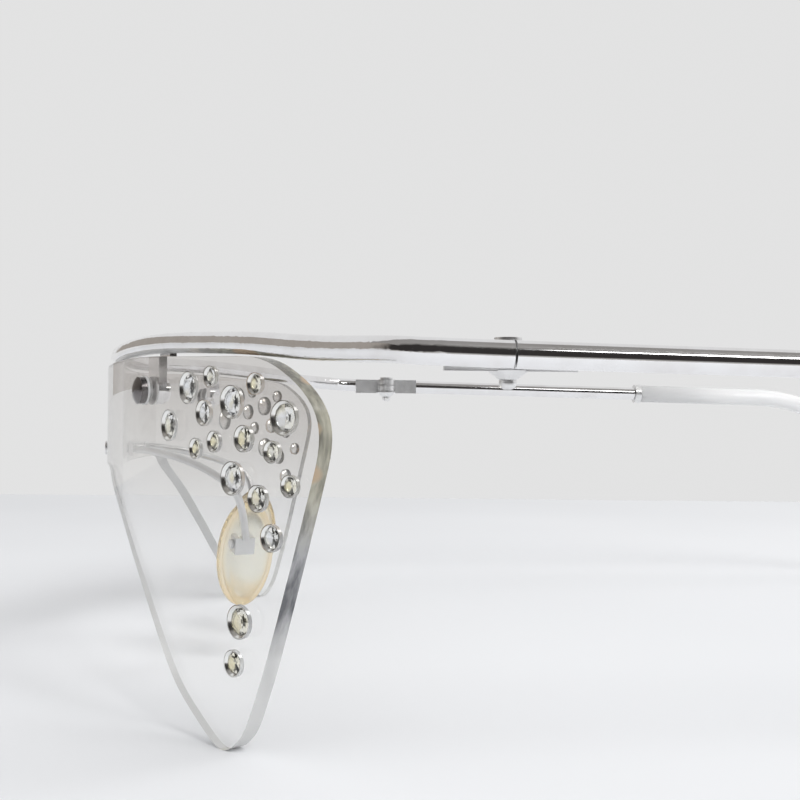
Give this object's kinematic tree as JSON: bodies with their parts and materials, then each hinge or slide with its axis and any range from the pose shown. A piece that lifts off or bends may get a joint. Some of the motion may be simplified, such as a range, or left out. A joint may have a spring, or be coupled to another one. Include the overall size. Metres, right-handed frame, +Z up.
{
  "type": "rimless shield sunglasses",
  "caption": "Semi-rimless cat-eye shield sunglasses: metal brow bar, tinted lens set with round stones, folding temples, sleeved tips and rocking nose pads.",
  "frame": {"origin": "centre of the bounding box in X and Y, on the table plane that the lens tips and temple tips touch", "axes": "+X to the wearer's left, +Y to the rear along the open temples, +Z up"},
  "size_m": [0.1386, 0.1648, 0.0423],
  "materials": {
    "bar": "polished silver-coloured metal",
    "lens": "clear plastic with a grey-mauve tint that fades out downwards",
    "screws": "bright machined metal",
    "dark_nuts": "dark plated metal, polished dome",
    "washers": "clear nylon",
    "cups": "dark nickel cup",
    "stones": "clear faceted glass, some pale champagne",
    "arms": "bright wire and small castings",
    "pads": "clear silicone, slightly yellowed",
    "hinges": "bright stamped metal",
    "rings": "polished collar",
    "sleeves": "clear milky plastic"
  },
  "bodies": {
    "front": {"bridge_screws": "dark_nuts", "brow_bar": "bar", "hinge_front_leaf_left": "hinges", "hinge_front_leaf_right": "hinges", "hinge_nut_left": "screws", "hinge_nut_right": "screws", "hinge_screw_left": "screws", "hinge_screw_right": "screws", "lens_cap_nut_left": "dark_nuts", "lens_cap_nut_right": "dark_nuts", "lens_screw_left": "screws", "lens_screw_right": "screws", "lens_tab_left": "bar", "lens_tab_right": "bar", "lens_washers_left": "washers", "lens_washers_right": "washers", "pad_arm_left": "arms", "pad_arm_right": "arms", "pad_box_left": "arms", "pad_box_right": "arms", "pad_bridge": "arms", "pad_screw_left": "screws", "pad_screw_right": "screws", "shield_lens": "lens", "stone_cups_left": "cups", "stone_cups_right": "cups", "stones_left": "stones", "stones_right": "stones"},
    "temple_left": {"hinge_rear_leaf_left": "hinges", "temple_left": "bar", "tip_ring_left": "rings", "tip_sleeve_left": "sleeves"},
    "temple_right": {"hinge_rear_leaf_right": "hinges", "temple_right": "bar", "tip_ring_right": "rings", "tip_sleeve_right": "sleeves"},
    "pad_left": {"nose_pad_left": "pads"},
    "pad_right": {"nose_pad_right": "pads"}
  },
  "joints": [
    {"name": "temple_left_fold", "type": "hinge", "parent": "front", "child": "temple_left", "pos_m": [0.0645, -0.03798, 0.039], "axis": [0, 0, 1], "range_deg": [0, 90]},
    {"name": "temple_right_fold", "type": "hinge", "parent": "front", "child": "temple_right", "pos_m": [-0.0645, -0.03798, 0.039], "axis": [0, 0, -1], "range_deg": [0, 86]},
    {"name": "nose_pad_left_rock", "type": "hinge", "parent": "front", "child": "pad_left", "pos_m": [0.013, -0.06317, 0.0165], "axis": [-0.3746, 0.9272, 0], "range_deg": [-10, 10]},
    {"name": "nose_pad_right_rock", "type": "hinge", "parent": "front", "child": "pad_right", "pos_m": [-0.013, -0.06317, 0.0165], "axis": [0.3746, 0.9272, 0], "range_deg": [-10, 10]}
  ]
}
